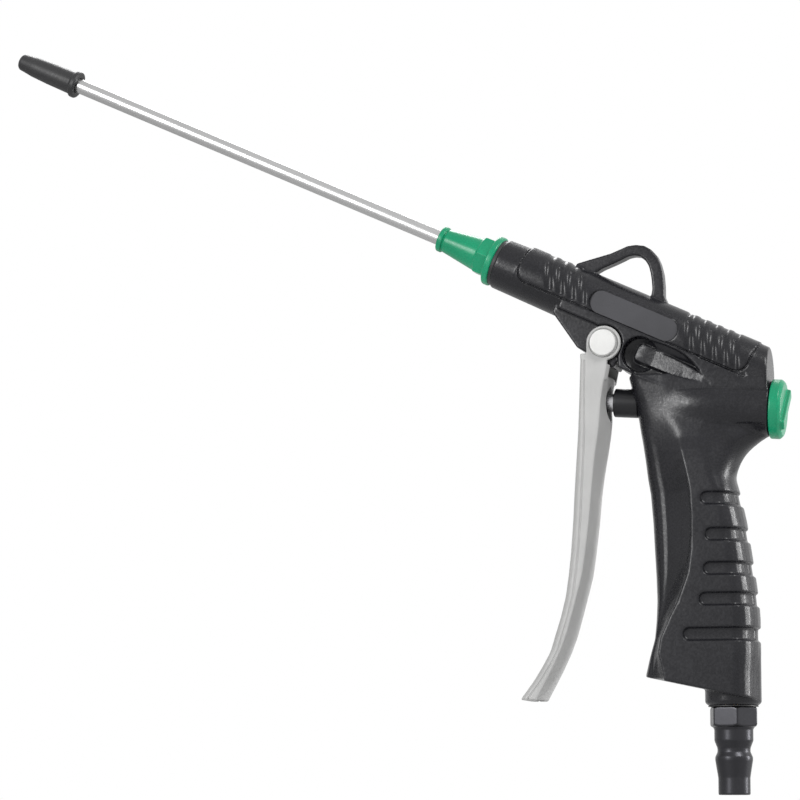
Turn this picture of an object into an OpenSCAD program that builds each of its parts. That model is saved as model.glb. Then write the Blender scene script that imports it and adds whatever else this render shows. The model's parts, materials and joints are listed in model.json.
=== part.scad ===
// Hand-held pneumatic air duster: a pistol grip with a spring-loaded poppet valve, a long
// squeeze lever, an extension tube with a soft tip and a quick-connect inlet plug.
// Frame: origin at the centre of the inlet plug's open end, +Z up the grip,
// -X towards the nozzle, and Y = 0 is the plane of symmetry.

/* [Barrel] */
// Rise of the barrel and tube above the horizontal, in degrees
barrel_tilt = 24.7; // [23:0.1:26]
// Length of the barrel's axis from above the inlet to the front face
barrel_len = 83.1; // [81:0.1:86]
// Height of the barrel's axis over the inlet, above the plug's end
axis_h = 139.6; // [138.4:0.1:141]
// Radius of the barrel at its front face
barrel_r = 8.4; // [8.2:0.1:8.8]
// Radius of the barrel where it has become the upper body
upper_r = 8.9; // [8.8:0.1:9.2]
// Length over which the barrel widens
barrel_cone_len = 25; // [20:1:30]
// Distance of the rear face behind the inlet's axis
rear_x = 13.4; // [12.8:0.1:14]
// How far the cowl stands proud of the upper body
cowl_rise = 0.4; // [0.3:0.1:0.8]
// Distance from the front face to the cowl's front edge
cowl_start = 8.3; // [6:0.1:12]
// Length of the cowl along the barrel
cowl_len = 82.5; // [78:0.5:84]
// How far below the barrel's axis the cowl ends
cowl_drop = 3.2; // [2:0.1:4]
// Radius of the air bore along the barrel
air_bore_r = 2.6; // [2:0.1:3]
// Radius of the duct from the valve up to the air bore
duct_r = 1.9; // [1.5:0.1:2.2]

/* [Body sides] */
// Half the width of the flat sides between barrel and valve
side_half = 8.7; // [8.5:0.1:8.8]
// Half the width of the thin lug between the lever's cheeks
lug_half = 7; // [6:0.1:7]
// Depth of the leaf-shaped pocket in each side
pocket_depth = 3.8; // [2.5:0.1:4]
// Length of the leaf-shaped pocket
pocket_len = 31.2; // [28:0.2:32]
// Width of the leaf-shaped pocket
pocket_w = 12.5; // [11:0.1:13]
// Radius of the rounded rib in the pocket
rib_r = 3; // [2.5:0.1:3.2]
// Length of the bare label recess
label_len = 31; // [26:0.5:32]
// Width of the bare label recess
label_w = 7.6; // [6:0.1:7.8]
// How deep the label recess is sunk below the cowl
label_sink = 1.7; // [1.2:0.1:2]
// Thickness of the label plate
label_t = 0.4; // [0.2:0.05:0.5]
// Width of each upright grip groove in the upper body
rib_slot_w = 1.9; // [1.2:0.1:2.4]
// Depth of each upright grip groove
rib_slot_depth = 0.6; // [0.3:0.1:0.8]
// Distance between the upright grooves
rib_slot_pitch = 3.7; // [3.2:0.1:4.2]

/* [Grip] */
// Height of the grip's lower rear corner above the plug's end
grip_base = 29.8; // [29.4:0.1:30.4]
// Height to which the grip's form rises above the valve's axis
grip_over = 9.6; // [8.6:0.1:10.6]
// Depth of the grip's outline, which its stations are shares of
grip_depth = 36; // [35:0.2:37]
// Half the width of the grip at its side panels
grip_half = 12.4; // [11.5:0.1:13.5]
// Slope of the grip's lower face, in degrees
base_slope = 11.9; // [8:0.1:13]
// Height of each finger groove
groove_h = 4.2; // [3:0.1:5]
// Depth of each finger groove
groove_depth = 0.8; // [0.4:0.1:1.2]
// Radius of the round boss under the grip
boss_r = 9; // [8.7:0.1:9.6]
// Chamfer at the boss's lower edge
boss_chamfer = 1; // [0.5:0.1:1.2]
// Height of the boss's lower face above the plug's end
boss_base = 28.3; // [28.2:0.1:29]

/* [Hanging loop] */
// Distance of the loop's front foot ahead of the inlet, along the barrel
loop_ahead = 58.9; // [57:0.1:61]
// Length of the loop along the barrel
loop_len = 33.3; // [31:0.1:35]
// Height of the loop above the barrel's axis
loop_h = 23.5; // [22:0.1:26]
// Thickness of the loop across the duster
loop_t = 5.4; // [4:0.1:7]

/* [Lever] */
// Distance of the lever's pivot ahead of the inlet, along the barrel
pivot_ahead = 38.4; // [38:0.1:39]
// Distance of the pivot below the barrel's axis
pivot_drop = 11.25; // [10.8:0.05:11.6]
// Height of the lever's tip above the plug's end
lever_tip_h = 30.4; // [28:0.1:37]
// How far the lever's tip is swept ahead of the pivot
lever_reach = 28.5; // [27.6:0.1:30]
// Outer width of the lever
lever_w = 18.4; // [18.2:0.1:19.2]
// Thickness of the lever's walls
lever_wall = 1.8; // [1.4:0.1:1.9]
// Radius of the round eye at the top of each cheek
eye_r = 5.65; // [5.4:0.05:5.8]
// Radius of the pivot pin's shank
pin_r = 2.5; // [2:0.1:2.8]
// Radius of the pivot pin's head
pin_head_r = 4.3; // [3.6:0.1:4.8]
// Height of the pivot pin's head
pin_head_h = 1.3; // [0.8:0.1:1.6]
// Radius of the retaining clip
clip_r = 4; // [3.6:0.1:4.6]
// Thickness of the retaining clip
clip_t = 0.8; // [0.6:0.1:1]

/* [Valve] */
// Slope of the valve's axis, lower at the rear, in degrees
valve_tilt = 4; // [3.6:0.1:4.4]
// Distance of the valve's axis below the barrel's axis, over the inlet
valve_drop = 15.4; // [15:0.1:15.8]
// Outer radius of the valve housing
housing_r = 9.2; // [8.9:0.1:9.4]
// Radius of the valve chamber
chamber_r = 5.6; // [5.3:0.1:5.8]
// Radius of the valve stem
stem_r = 1.5; // [1.3:0.1:1.6]
// Radius of the stem guide's nose
nose_r = 4.65; // [4.3:0.05:4.9]
// How far the push button stands out of the guide's nose
button_out = 8.3; // [7.6:0.1:8.6]
// Radius of the guide's shank inside the body
shank_r = 4.1; // [3.8:0.1:4.2]
// Length of the guide's shank inside the body
shank_len = 9; // [8:0.1:9.6]
// Radius of the push button
button_r = 3; // [2.6:0.1:3.2]
// Length of the push button
button_len = 10.6; // [10:0.1:11]
// Radius of the poppet
poppet_r = 4.2; // [3.9:0.1:4.4]
// Thickness of the poppet
poppet_t = 3; // [2.5:0.1:3.6]
// Thickness of the poppet's rubber face
seal_t = 1.2; // [0.8:0.1:1.5]
// Radius of the air hole through the seat
seat_hole_r = 2.6; // [2.3:0.1:2.9]
// Length of the seat
seat_t = 3.2; // [2.8:0.1:3.6]
// Radius of the green rear cap
cap_r = 9.6; // [9.3:0.1:10]
// Thickness of the rear cap's flange
cap_t = 3; // [2.6:0.1:3.4]
// Chamfer around the rear cap
cap_chamfer = 1; // [0.5:0.1:1.2]
// Height of the bar across the rear cap
cap_bar_h = 1.1; // [0.8:0.1:1.4]
// Radius of the cap's threaded spigot
spigot_r = 7; // [6.6:0.1:7.2]
// Length of the cap's spigot
spigot_len = 7.5; // [7:0.1:8.5]
// Radius of the valve spring's wire
wire_r = 0.35; // [0.3:0.05:0.4]
// Radius of the valve spring, at the middle of its wire
spring_r = 2.7; // [2.6:0.05:2.8]
// Number of turns of the valve spring
spring_turns = 7; // [5:1:8]

/* [Nozzle] */
// Distance from the barrel's front face to the nut's front lip
nut_len = 22.5; // [20:0.5:25]
// Width of the nut's hexagon across its flats
nut_flats = 12; // [11.6:0.1:12.6]
// Length of the nut's hexagon
nut_hex_len = 4.3; // [4:0.1:6]
// Radius of the nut's cone at its small end
nut_nose_r = 3.9; // [3.7:0.1:4.1]
// Radius of the nut's cone at the hexagon
nut_cone_r = 5.7; // [5:0.1:5.8]
// Thickness of the nut's flange
nut_flange_t = 2.3; // [1.6:0.1:2.8]
// Thickness of the ring between the nut and the barrel
ring_t = 1.1; // [0.8:0.1:1.5]
// Outer radius of the extension tube
tube_r = 2.5; // [2.3:0.05:2.6]
// Wall of the extension tube
tube_wall = 0.7; // [0.5:0.05:1]
// Distance from the barrel's front face to the soft tip
tip_start = 163.5; // [140:0.5:180]
// Length of the soft tip
tip_len = 23.3; // [21:0.1:26]
// Radius of the soft tip's rear rim
tip_rim_r = 4.65; // [4.4:0.05:5]
// Radius of the soft tip behind its nose
tip_r = 3.9; // [3.7:0.05:4.1]
// Radius of the soft tip's front end
tip_nose_r = 2.4; // [2.2:0.05:2.6]
// Radius of the air outlet in the tip
outlet_r = 1.2; // [0.8:0.1:1.4]

/* [Inlet plug] */
// Radius of the plug's straight nose, which enters a coupler
plug_r = 5.1; // [5:0.05:5.2]
// Length of the plug's straight nose
plug_nose_len = 5.5; // [5:0.1:6]
// Radius of the plug's retaining collar
plug_collar_r = 6; // [5.8:0.05:6.2]
// Height of the retaining collar above the plug's end
plug_collar_at = 11; // [10.5:0.1:11.5]
// Radius of the plug's locking groove
plug_waist_r = 5.25; // [5:0.05:5.4]
// Radius of the plug's neck
plug_neck_r = 6.2; // [6:0.05:6.4]
// Height of the foot of the plug's hexagon above its end
plug_hex_at = 21.6; // [21.2:0.1:22]
// Width of the plug's hexagon across its flats
plug_flats = 14; // [13.2:0.1:15]
// Turn of the plug's hexagon, in degrees
plug_turn = -13; // [-30:1:30]
// Radius of the plug's bore
plug_bore_r = 3.2; // [2.5:0.1:3.6]
// Outer radius of the plug's male thread
thread_r = 6.4; // [6:0.1:6.5]
// Length of the plug's male thread
thread_len = 10; // [8:0.5:12]
// Outer radius of the threaded insert in the grip
insert_r = 7.3; // [7.1:0.1:7.5]
// Length of the threaded insert in the grip
insert_len = 16; // [14:0.5:18]

/* [Fits] */
// Radial clearance of a shaft that turns or slides in a hole
running_gap = 0.05; // [0.03:0.01:0.08]
// Clearance between pieces of one body
seat_gap = 0.05; // [0.03:0.01:0.08]
// Clearance between pieces that move past each other
moving_gap = 0.3; // [0.3:0.05:0.35]
// Section of the seal rings
o_ring_d = 1.2; // [1:0.1:1.3]

/* [Hidden] */
$fn = 64;

// Overrun of a cut past the face that it opens
over = 1;

body_black = [0.10, 0.10, 0.11];
green = [0.03, 0.52, 0.31];
cast = [0.78, 0.78, 0.78];
bright = [0.88, 0.88, 0.88];
steel = [0.60, 0.61, 0.63];
dark_steel = [0.26, 0.26, 0.27];
brass = [0.78, 0.62, 0.30];
rubber = [0.04, 0.04, 0.04];
label_grey = [0.33, 0.33, 0.35];

// Grip stations: height, front, crease, rear, half width, nose half width and rounded back
grip_shares = [
    [-0.06, -0.785, -0.540, 0.235, 1.00, 0.46, 0.18],
    [0.08, -0.778, -0.568, 0.235, 1.00, 0.46, 0.18],
    [0.14, -0.733, -0.612, 0.247, 1.00, 0.46, 0.18],
    [0.19, -0.690, -0.590, 0.247, 1.00, 0.46, 0.18],
    [0.25, -0.676, -0.510, 0.247, 1.00, 0.46, 0.18],
    [0.31, -0.670, -0.420, 0.236, 1.00, 0.46, 0.18],
    [0.39, -0.678, -0.336, 0.206, 1.00, 0.46, 0.18],
    [0.46, -0.689, -0.306, 0.176, 1.00, 0.46, 0.18],
    [0.55, -0.701, -0.304, 0.138, 1.00, 0.46, 0.18],
    [0.64, -0.722, -0.311, 0.082, 1.00, 0.47, 0.18],
    [0.69, -0.746, -0.342, 0.044, 0.98, 0.48, 0.20],
    [0.74, -0.763, -0.376, 0.100, 0.93, 0.50, 0.28],
    [0.77, -0.775, -0.398, 0.168, 0.88, 0.52, 0.38],
    [0.79, -0.783, -0.412, 0.248, 0.83, 0.53, 0.50],
    [0.81, -0.792, -0.430, 0.340, 0.78, 0.55, 0.60],
    [0.87, -0.822, -0.492, 0.167, 0.73, 0.60, 0.34],
    [0.92, -0.858, -0.525, 0.140, 0.71, 0.64, 0.30],
    [0.96, -0.872, -0.555, 0.110, 0.70, 0.66, 0.28],
    [1.01, -0.910, -0.583, 0.080, 0.69, 0.67, 0.26]];
// Share of the stretch from front to crease that the rounded nose takes
nose_share = 0.38;
// How far the flank between nose and crease is drawn in, as a share of the grip's half width
flank_share = 0.04;
// Where the flank is drawn in, as a share of its length
flank_mid_share = 0.5;
// Heights of the finger grooves' middles, as shares of the grip
groove_shares = [0.201, 0.308, 0.401, 0.506, 0.617];
// Front ends of the finger grooves, as shares of the grip's depth ahead of the inlet
groove_start_shares = [0.39, 0.245, 0.205, 0.185, 0.225];

// Lever stations: drop, front and rear, each ahead of the pivot
lever_shares = [
    [0.028, 0.270, -0.050],
    [0.056, 0.274, -0.040],
    [0.100, 0.282, -0.004],
    [0.160, 0.291, 0.035],
    [0.250, 0.309, 0.070],
    [0.330, 0.333, 0.118],
    [0.420, 0.358, 0.150],
    [0.500, 0.375, 0.180],
    [0.590, 0.403, 0.225],
    [0.650, 0.430, 0.262],
    [0.710, 0.465, 0.325],
    [0.770, 0.525, 0.392],
    [0.820, 0.590, 0.450],
    [0.865, 0.645, 0.520],
    [0.910, 0.745, 0.605],
    [0.950, 0.848, 0.690],
    [1.000, 1.000, 0.800]];

// Loop outline, as shares of its length and of its height above the barrel's axis
loop_shares = [[0, 0.30], [0, 0.41], [0.09, 0.515], [0.18, 0.617], [0.273, 0.723],
    [0.357, 0.847], [0.402, 0.915], [0.474, 0.97], [0.55, 1], [0.628, 0.987], [0.706, 0.936],
    [0.765, 0.86], [0.83, 0.745], [0.888, 0.6], [0.934, 0.46], [0.985, 0.395], [0.985, 0.3]];
// Outline of the loop's hole, in the same shares
hole_shares = [[0.215, 0.2], [0.215, 0.40], [0.26, 0.485], [0.342, 0.604], [0.405, 0.702],
    [0.444, 0.77], [0.492, 0.817], [0.55, 0.843], [0.619, 0.817], [0.673, 0.765],
    [0.722, 0.677], [0.765, 0.579], [0.80, 0.485], [0.815, 0.40], [0.815, 0.2]];

// Leaf outline, as shares of the pocket's length and width
leaf_shares = [[0.167, -0.46], [0.20, -0.49], [0.30, -0.5], [0.45, -0.475], [0.58, -0.42],
    [0.695, -0.345], [0.79, -0.27], [0.865, -0.2], [0.94, -0.1], [1, 0.03], [0.93, 0.11],
    [0.87, 0.17], [0.80, 0.27], [0.727, 0.36], [0.63, 0.45], [0.535, 0.49], [0.42, 0.5],
    [0.30, 0.48], [0.20, 0.44], [0.167, 0.40]];
// Radius of the leaf's round end, as a share of its width
leaf_end_share = 0.43;
// Distance of the leaf's round end ahead of the inlet, along the barrel
pocket_ahead = 31.8;
// Distance of the leaf's middle below the barrel's axis
pocket_down = 10.2;
// Distance of the front of the rib in the pocket ahead of the inlet, along the barrel
rib_ahead = 28.1;
// Distance of that rib below the barrel's axis
rib_down = 9.4;
// How far the rib's axis lies below the floor of the pocket
rib_sink = 0.4;

// Distance of the label recess's middle ahead of the inlet, along the barrel
label_ahead = 33.1;
// How far above the barrel's axis the label recess's middle lies
label_up = 0.7;
// Half the height of a groove on the side, and the whole height that goes over the top
slot_side_h = 4;
slot_h = 14;
// Distances of the first front and first rear groove ahead of the inlet, along the barrel
front_slot_ahead = 63.8;
rear_slot_ahead = 14.4;
// How far above the barrel's axis the grooves' middles lie
front_slot_up = 1.2;
rear_slot_up = 3.4;
front_slots = 4;
rear_slots = 5;

// Where the lug leaves the barrel, ahead of the inlet along the barrel
lug_ahead = 58.8;
// Front corner of the lug, ahead of and below the pivot
lug_corner_x = 9.2;
lug_corner_z = 0.8;
// Rear corner of the lug, behind and below the pivot
lug_heel_x = 2.8;
lug_heel_z = 7.9;
// Lower edge of the wide sides ahead of the pivot, below the barrel's axis
side_drop = 6.5;
// Where the wide sides begin, ahead of the inlet along the barrel
side_ahead = 57.4;
// Lower edge of the wide sides behind the pocket, above the valve's axis
side_above_valve = 5.1;
// How far behind the pivot the wide sides' front edge lies
side_behind = 4.6;
// Where the lower edge of the sides turns down to the grip, ahead of the inlet's axis
side_turn_x = 7;
side_foot_x = 13;

barrel_mid = [-barrel_len * cos(barrel_tilt), axis_h + barrel_len * sin(barrel_tilt)];
barrel_h = barrel_mid[1];
pivot = from_axis(pivot_ahead, -pivot_drop);
valve_h = axis_h - valve_drop;
grip_h = valve_h + grip_over - grip_base;
lever_drop = pivot[1] - lever_tip_h;
side_front = pivot[0] + side_behind;
lever_half = lever_w / 2;
channel_half = lever_half - lever_wall;
relief_r = eye_r + moving_gap + seat_gap;
label_floor = upper_r + cowl_rise - label_sink;
pocket_floor = side_half - pocket_depth;

// Stations along the valve's axis, zero above the inlet and rearward positive
cap_seat = rear_x / cos(valve_tilt);
seat_front = -16.7;
seat_rear = seat_front + seat_t;
guide_seat = -29.5;
shank_rear = guide_seat + shank_len;
seal_front = seat_rear + seat_gap;
poppet_front = seal_front + seal_t + seat_gap;
poppet_rear = poppet_front + poppet_t;
duct_x = -18.55;
spring_pocket_len = 4;
spring_pocket_r = spring_r + wire_r + moving_gap;
spring_end = cap_seat - spigot_len + spring_pocket_len;
stem_nut_flats = 3.8;
stem_nut_t = 1.7;
stem_end = poppet_rear + seat_gap + stem_nut_t + stem_r / 4;
// Height of the housing's domed front end, and where its cylinder starts
housing_cone_len = 6;
housing_start = -18;

// Drop of the push button's axis below the pivot, where it meets the lever
press_drop = pivot[1] - valve_h - (lever_wall - pivot[0]) * tan(valve_tilt);
lever_inner = -pivot[0] - lever_wall + lever_reach * lookup(press_drop / lever_drop,
    [for (s = lever_shares) [s[0], s[1]]]);
button_front = -lever_inner / cos(valve_tilt) + moving_gap;
button_rear = button_front + button_len;
nose_front = button_front + button_out;
stem_front = button_rear - button_len / 3;

air_bore_len = barrel_len + duct_x / cos(barrel_tilt);
outlet_insert_r = 6.4;
outlet_insert_len = 16;
nut_spigot_r = 4.8;
nut_spigot_len = 10;
collar_r = 4;
collar_t = 2.6;
nut_lip_t = 1.8;
nut_lip_r = 4.35;
nut_groove = 0.35;
tube_in = nut_spigot_len + collar_t;
tube_grip_len = 16;
tip_rim_len = 2;
screen_t = 3;
screen_floor_t = 0.8;
screen_hole_r = 0.7;
screen_holes = 6;
washer_t = 0.3;
inlet_r = 3.5;
// How far ahead of the inlet's axis the leaning air way meets the valve
airway_ahead = 8;
insert_shoulder = 12;
insert_throat_r = 5;
pin_groove_depth = 0.5;
pin_end_len = 0.8;
clip_gap = 2.6;
plug_step = 0.5;
plug_collar_len = 1;
plug_waist_at = 13.6;
plug_waist_len = 1.2;
plug_neck_at = 17.2;
plug_neck_end = 20.8;
plug_hex_chamfer = 0.6;
bar_w = 3.4;

// Frames

// Side outlines drawn as distance behind the inlet along the barrel and height above its axis
module barrel_side(half) {
    translate([0, 0, axis_h])
        rotate([0, barrel_tilt, 0])
            side_plate(half)
                children();
}

// z runs forward along the barrel's axis from its front face, and x is its upper side
module along_barrel() {
    translate([barrel_mid[0], 0, barrel_mid[1]])
        rotate([0, barrel_tilt - 90, 0])
            children();
}

// z runs rearward along the valve's axis from above the inlet, and x points down
module along_valve() {
    translate([0, 0, valve_h])
        rotate([0, 90 + valve_tilt, 0])
            children();
}

// y runs through the pivot, and the children's z axis lies along it
module along_pivot() {
    translate([pivot[0], 0, pivot[1]])
        rotate([-90, 0, 0])
            children();
}

// An outline in x and z, as thick as twice the half width
module side_plate(half) {
    rotate([90, 0, 0])
        linear_extrude(height = 2 * half, center = true)
            children();
}

// Both sides alike
module both_sides() {
    children();
    mirror([0, 1, 0])
        children();
}

// A place in x and z from its distance ahead of the inlet and its height above the barrel's axis
function from_axis(ahead, up) = [0, axis_h]
    + ahead * [-cos(barrel_tilt), sin(barrel_tilt)] + up * [sin(barrel_tilt), cos(barrel_tilt)];

// A place in x and z from its distance rearward and height above the valve's axis
function from_valve(back, up) = [0, valve_h]
    + back * [cos(valve_tilt), -sin(valve_tilt)] + up * [sin(valve_tilt), cos(valve_tilt)];

function scaled(shares, size) = [for (s = shares) [s[0] * size[0], s[1] * size[1]]];

// A ring from one z to another
module tube(outer, inner, from, to) {
    translate([0, 0, from])
        difference() {
            cylinder(h = to - from, r = outer);
            translate([0, 0, -over])
                cylinder(h = to - from + 2 * over, r = inner);
        }
}

// A round rod from one z to another
module rod(radius, from, to) {
    translate([0, 0, from])
        cylinder(h = to - from, r = radius);
}

module o_ring(radius, at) {
    translate([0, 0, at])
        rotate_extrude()
            translate([radius, 0])
                circle(d = o_ring_d, $fn = 24);
}

// The walls of a closed solid through a stack of rings of points, as face indices
function skin_walls(m, n) = [for (i = [0:m - 2]) for (j = [0:n - 1]) let (k = (j + 1) % n)
    each [[i * n + j, (i + 1) * n + k, i * n + k], [i * n + j, (i + 1) * n + j, (i + 1) * n + k]]];

module skin(rings) {
    n = len(rings[0]);
    m = len(rings);
    polyhedron(
        points = [for (ring = rings) each ring],
        faces = concat([[for (j = [0:n - 1]) j]], skin_walls(m, n),
            [[for (j = [n - 1:-1:0]) (m - 1) * n + j]]),
        convexity = 6);
}

// Body

// One side of a grip section from its nose round to its back, as depth and half width
function grip_side(front, crease, rear, half, nose, back) = let (
    e = nose_share * (crease - front),
    joint = [front + e, nose],
    mid = (1 - flank_mid_share) * joint + flank_mid_share * [crease, half])
    concat(
        [for (a = [0:18:90]) [front + e * (1 - cos(a)), nose * sin(a)]],
        [[mid[0], mid[1] - flank_share * (half - nose) * 2]],
        [[crease, half]],
        [for (a = [0:15:90]) [rear - back * (1 - sin(a)), half * cos(a)]]);

function grip_ring(s, inset) = let (
    side = grip_side(s[1] * grip_depth + inset, s[2] * grip_depth, s[3] * grip_depth - inset,
        s[4] * grip_half - inset, s[5] * grip_half - inset, s[6] * grip_depth),
    last = len(side) - 1,
    z = grip_base + s[0] * grip_h)
    concat([for (p = side) [p[0], -p[1], z]], [for (i = [last - 1:-1:1]) [side[i][0], side[i][1], z]]);

module grip_form(inset) {
    skin([for (s = grip_shares) grip_ring(s, inset)]);
}

// Everything under the grip's sloping lower face
module under_grip() {
    translate([0, 0, grip_base])
        rotate([0, base_slope, 0])
            translate([-2 * grip_depth, -2 * grip_half, boss_r * sin(base_slope) - grip_depth])
                cube([3 * grip_depth, 4 * grip_half, grip_depth]);
}

module finger_grooves() {
    for (i = [0:len(groove_shares) - 1])
        translate([groove_h / 2 - groove_start_shares[i] * grip_depth, 0,
            grip_base + groove_shares[i] * grip_h])
            side_plate(2 * grip_half) {
                circle(d = groove_h);
                translate([0, -groove_h / 2])
                    square([2 * grip_depth, groove_h]);
            }
}

module boss() {
    rod(boss_r, boss_base + boss_chamfer, boss_base + 2 * boss_r);
    translate([0, 0, boss_base])
        cylinder(h = boss_chamfer, r1 = boss_r - boss_chamfer, r2 = boss_r);
}

module barrel_form() {
    along_barrel() {
        translate([0, 0, -barrel_cone_len])
            cylinder(h = barrel_cone_len, r1 = upper_r, r2 = barrel_r);
        rod(upper_r, -2 * barrel_len, -barrel_cone_len);
    }
}

module cowl() {
    intersection() {
        along_barrel()
            rod(upper_r + cowl_rise, -cowl_start - cowl_len, -cowl_start);
        barrel_side(2 * upper_r)
            translate([-barrel_len, -cowl_drop])
                square([cowl_start + cowl_len + over, 2 * upper_r + cowl_drop]);
    }
}

// The thin lug that the lever's cheeks straddle
module lug() {
    side_plate(lug_half)
        polygon([from_axis(lug_ahead, 0), from_axis(lug_ahead, -barrel_r),
            pivot + [-lug_corner_x, -lug_corner_z], pivot + [lug_heel_x, -lug_heel_z],
            from_axis(pocket_ahead, -pocket_down), from_axis(pocket_ahead, 0)]);
}

// The wide flat sides between the barrel and the valve
module sides() {
    side_plate(side_half)
        polygon([from_axis(side_ahead, 0), from_axis(side_ahead, -side_drop),
            from_axis(side_ahead - barrel_r - eye_r, -side_drop), [side_front, pivot[1]],
            [side_front, pivot[1] - lug_heel_z], from_valve(side_front + eye_r / 2, housing_r),
            from_valve(-side_foot_x - pocket_w / 2, housing_r / 2),
            from_valve(-side_foot_x, side_above_valve / 2), from_valve(-side_turn_x, side_above_valve),
            from_valve(2 * rear_x, side_above_valve), from_axis(-2 * rear_x, 0)]);
}

module housing_form() {
    along_valve() {
        rod(housing_r, housing_start + housing_cone_len, cap_seat);
        translate([0, 0, housing_start])
            cylinder(h = housing_cone_len, r1 = side_half - over, r2 = housing_r);
    }
}

module hanging_loop() {
    difference() {
        barrel_side(loop_t / 2)
            translate([-loop_ahead, 0])
                polygon(scaled(loop_shares, [loop_len, loop_h]));
        barrel_side(loop_t)
            translate([-loop_ahead, 0])
                polygon(scaled(hole_shares, [loop_len, loop_h]));
    }
}

module leaf_pocket() {
    intersection() {
        barrel_side(2 * side_half)
            translate([-pocket_ahead, -pocket_down]) {
                polygon(scaled(leaf_shares, [pocket_len, pocket_w]));
                translate([pocket_w * leaf_end_share, 0])
                    circle(r = pocket_w * leaf_end_share);
            }
        translate([-2 * barrel_len, pocket_floor, 0])
            cube([4 * barrel_len, side_half, 2 * barrel_h]);
    }
}

module pocket_rib() {
    rib_end = rib_ahead - rib_r - barrel_len;
    intersection() {
        along_barrel()
            translate([-rib_down, pocket_floor - rib_sink, 0]) {
                rod(rib_r, rib_end - pocket_len, rib_end);
                translate([0, 0, rib_end])
                    sphere(r = rib_r);
            }
        translate([-2 * barrel_len, 0, 0])
            cube([4 * barrel_len, side_half - seat_gap, 2 * barrel_h]);
    }
}

module label_recess(clear) {
    barrel_side(2 * upper_r)
        translate([-label_ahead, label_up]) {
            square([label_len - label_w, label_w - 2 * clear], center = true);
            for (side = [-1, 1])
                translate([side * (label_len - label_w) / 2, 0])
                    circle(d = label_w - 2 * clear);
        }
}

// Upright grooves cut a little way into the round of the upper body
module upright_grooves() {
    slot_step = rib_slot_pitch * [1, -tan(barrel_tilt)];
    difference() {
        union() {
            for (i = [0:front_slots - 1])
                let (p = from_axis(front_slot_ahead, front_slot_up) + i * slot_step)
                    translate([p[0] - rib_slot_w / 2, -2 * upper_r, p[1] - slot_side_h])
                        cube([rib_slot_w, 4 * upper_r, slot_h]);
            for (i = [0:rear_slots - 1])
                let (p = from_axis(rear_slot_ahead, rear_slot_up) + i * slot_step)
                    translate([p[0] - rib_slot_w / 2, -2 * upper_r, p[1] - 2 * slot_side_h + over])
                        cube([rib_slot_w, 4 * upper_r, slot_h]);
        }
        along_barrel()
            rod(upper_r + cowl_rise - rib_slot_depth, -2 * barrel_len, barrel_len);
    }
}

module valve_bores() {
    along_valve() {
        rod(nose_r + seat_gap, nose_front, guide_seat);
        rod(shank_r + seat_gap, guide_seat - over, seat_front + over / 2);
        rod(chamber_r, seat_front, cap_seat);
        rod(spigot_r + seat_gap, cap_seat - spigot_len - seat_gap, cap_seat + over);
    }
}

// The air way above the insert leans forward, clear of the neck's narrow back
module inlet_bores() {
    foot = boss_base + insert_len;
    rod(insert_r + seat_gap, boss_base - over, foot + screen_t + 3 * seat_gap);
    translate([0, 0, foot])
        rotate([0, -atan2(airway_ahead, valve_h - foot), 0])
            rod(inlet_r, 0, norm([airway_ahead, valve_h - foot]));
}

module outlet_bores() {
    along_barrel() {
        rod(outlet_insert_r + seat_gap, -outlet_insert_len - seat_gap, over);
        rod(air_bore_r, -air_bore_len, 0);
    }
    translate([duct_x, 0, valve_h])
        cylinder(h = valve_drop - duct_x * tan(barrel_tilt), r = duct_r);
}

module behind_body() {
    translate([rear_x, -2 * upper_r, -barrel_h])
        cube([4 * barrel_len, 4 * upper_r, 4 * barrel_h]);
}

module eye_relief() {
    both_sides()
        along_pivot()
            rod(relief_r, lug_half, 2 * lever_half);
}

module body_housing() {
    color(body_black)
    difference() {
        union() {
            difference() {
                grip_form(0);
                difference() {
                    finger_grooves();
                    grip_form(groove_depth);
                }
                under_grip();
            }
            boss();
            lug();
            housing_form();
            difference() {
                hanging_loop();
                behind_body();
            }
            difference() {
                union() {
                    barrel_form();
                    cowl();
                    difference() {
                        sides();
                        both_sides()
                            leaf_pocket();
                    }
                    both_sides()
                        pocket_rib();
                }
                behind_body();
                upright_grooves();
                both_sides()
                    intersection() {
                        label_recess(0);
                        translate([-2 * barrel_len, label_floor, 0])
                            cube([4 * barrel_len, upper_r, 2 * barrel_h]);
                    }
                eye_relief();
            }
        }
        along_pivot()
            rod(pin_r + seat_gap, -2 * lug_half, 2 * lug_half);
        valve_bores();
        inlet_bores();
        outlet_bores();
    }
}

module side_labels() {
    color(label_grey)
    both_sides()
        intersection() {
            label_recess(seat_gap);
            translate([-2 * barrel_len, label_floor + seat_gap, 0])
                cube([4 * barrel_len, label_t, 2 * barrel_h]);
        }
}

// Lever

// The lever's side outline below its eyes, from its front line to its rear line
function lever_line(column, back) = [for (s = lever_shares)
    pivot + [back - s[column] * lever_reach, -s[0] * lever_drop]];
function backwards(points) = [for (i = [len(points) - 1:-1:0]) points[i]];

module lever_outline() {
    polygon(concat(lever_line(1, 0), backwards(lever_line(2, 0))));
    translate(pivot) {
        circle(r = eye_r);
        translate([-eye_r, -lever_shares[2][0] * lever_drop])
            square([eye_r, lever_shares[2][0] * lever_drop]);
    }
}

// The open space between the cheeks, behind the front wall
module lever_channel() {
    inner = lever_line(1, lever_wall);
    top = inner[0];
    tip = inner[len(inner) - 1];
    side_plate(channel_half)
        polygon(concat([pivot + [-lever_reach, lever_reach], [pivot[0] - lever_reach, top[1]], top], inner,
            [[tip[0], tip[1] - over], [-pivot[0], tip[1] - over], [-pivot[0], pivot[1] + lever_reach]]));
}

module lever() {
    color(cast)
    difference() {
        side_plate(lever_half)
            lever_outline();
        lever_channel();
        along_pivot()
            rod(pin_r + running_gap, -lever_w, lever_w);
    }
}

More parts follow.
